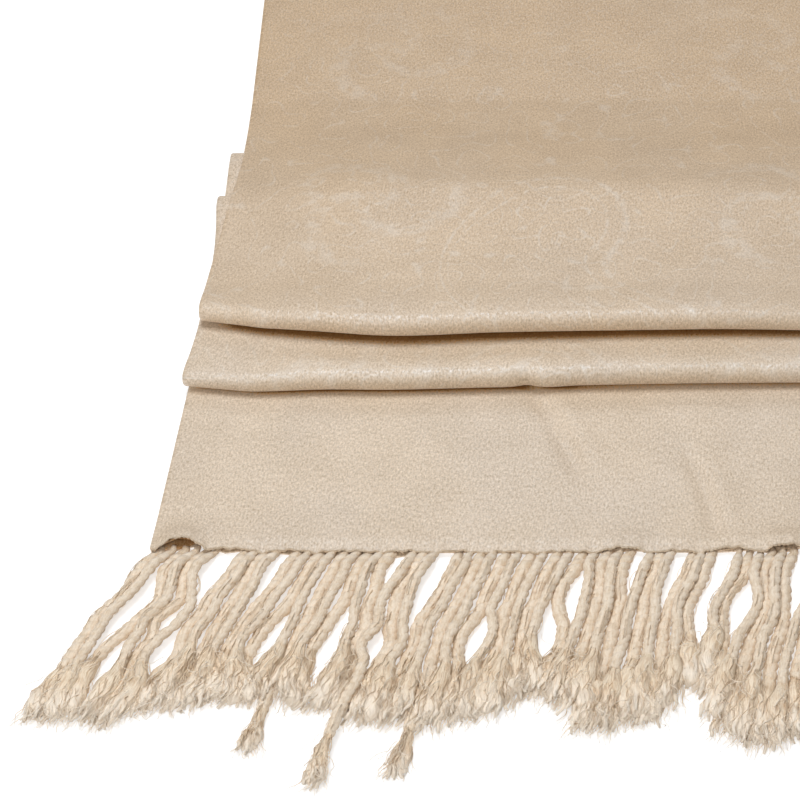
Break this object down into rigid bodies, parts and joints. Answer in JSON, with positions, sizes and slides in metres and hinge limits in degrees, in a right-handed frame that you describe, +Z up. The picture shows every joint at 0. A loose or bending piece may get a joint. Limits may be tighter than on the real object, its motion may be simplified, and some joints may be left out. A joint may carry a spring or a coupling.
{
  "type": "fringed stole, folded and laid flat",
  "caption": "Satin-faced stole folded lengthwise and laid flat, with cross folds near one end and a twisted, tufted fringe at both ends.",
  "frame": {"origin": "middle of the underside of the laid stole, fringes included, on the surface it lies on", "axes": "+Y along the stole towards its plain far end, +Z up, +X to the right when seen from the end with the cross folds"},
  "size_m": [0.2258, 1.4848, 0.0172],
  "materials": {
    "stole_cloth": "satin-faced weave with a faint tone-on-tone pattern",
    "inner_layers": "the same cloth, seen at its folded edges",
    "fringe_yarn": "soft twisted yarn that opens into tufts"
  },
  "bodies": {
    "root": {"hem_panel": "stole_cloth", "second_fold": "stole_cloth", "long_run": "stole_cloth", "folded_layers": "inner_layers", "near_fringe_lower": "fringe_yarn", "near_fringe_upper": "fringe_yarn", "far_fringe_lower": "fringe_yarn", "far_fringe_upper": "fringe_yarn"}
  },
  "joints": []
}
